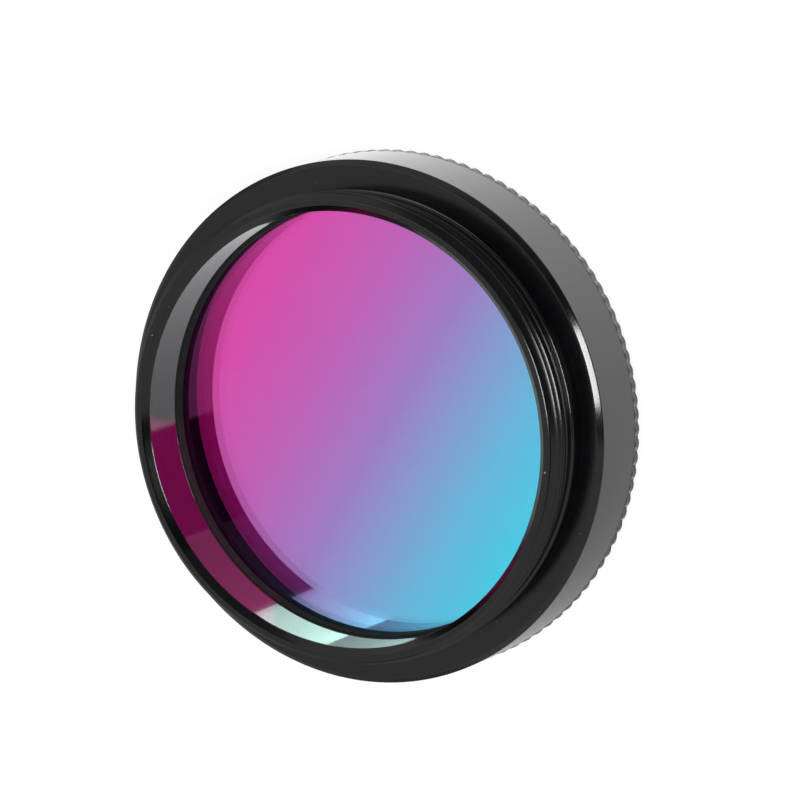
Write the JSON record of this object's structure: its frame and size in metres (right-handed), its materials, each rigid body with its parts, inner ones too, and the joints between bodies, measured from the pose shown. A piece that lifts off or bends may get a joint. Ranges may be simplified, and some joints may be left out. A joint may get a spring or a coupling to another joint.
{
  "type": "light pollution filter",
  "caption": "Round screw-in optical filter for telescope eyepieces: black threaded metal cell with a knurled rear edge, a coated glass disc and its retaining ring.",
  "frame": {"origin": "centre of the rear face, which the filter lies on, on the optical axis", "axes": "+Z along the optical axis, from the rear female thread to the male thread collar"},
  "size_m": [0.0316, 0.0316, 0.0083],
  "materials": {
    "cell_anodised": "black anodised, satin outside and smooth in the bore",
    "coated_glass": "polished, with a mirror-like interference coating that runs from magenta to cyan",
    "ring_anodised": "black anodised, matt"
  },
  "bodies": {
    "root": {"filter_cell": "cell_anodised", "filter_glass": "coated_glass", "retaining_ring": "ring_anodised"}
  },
  "joints": []
}
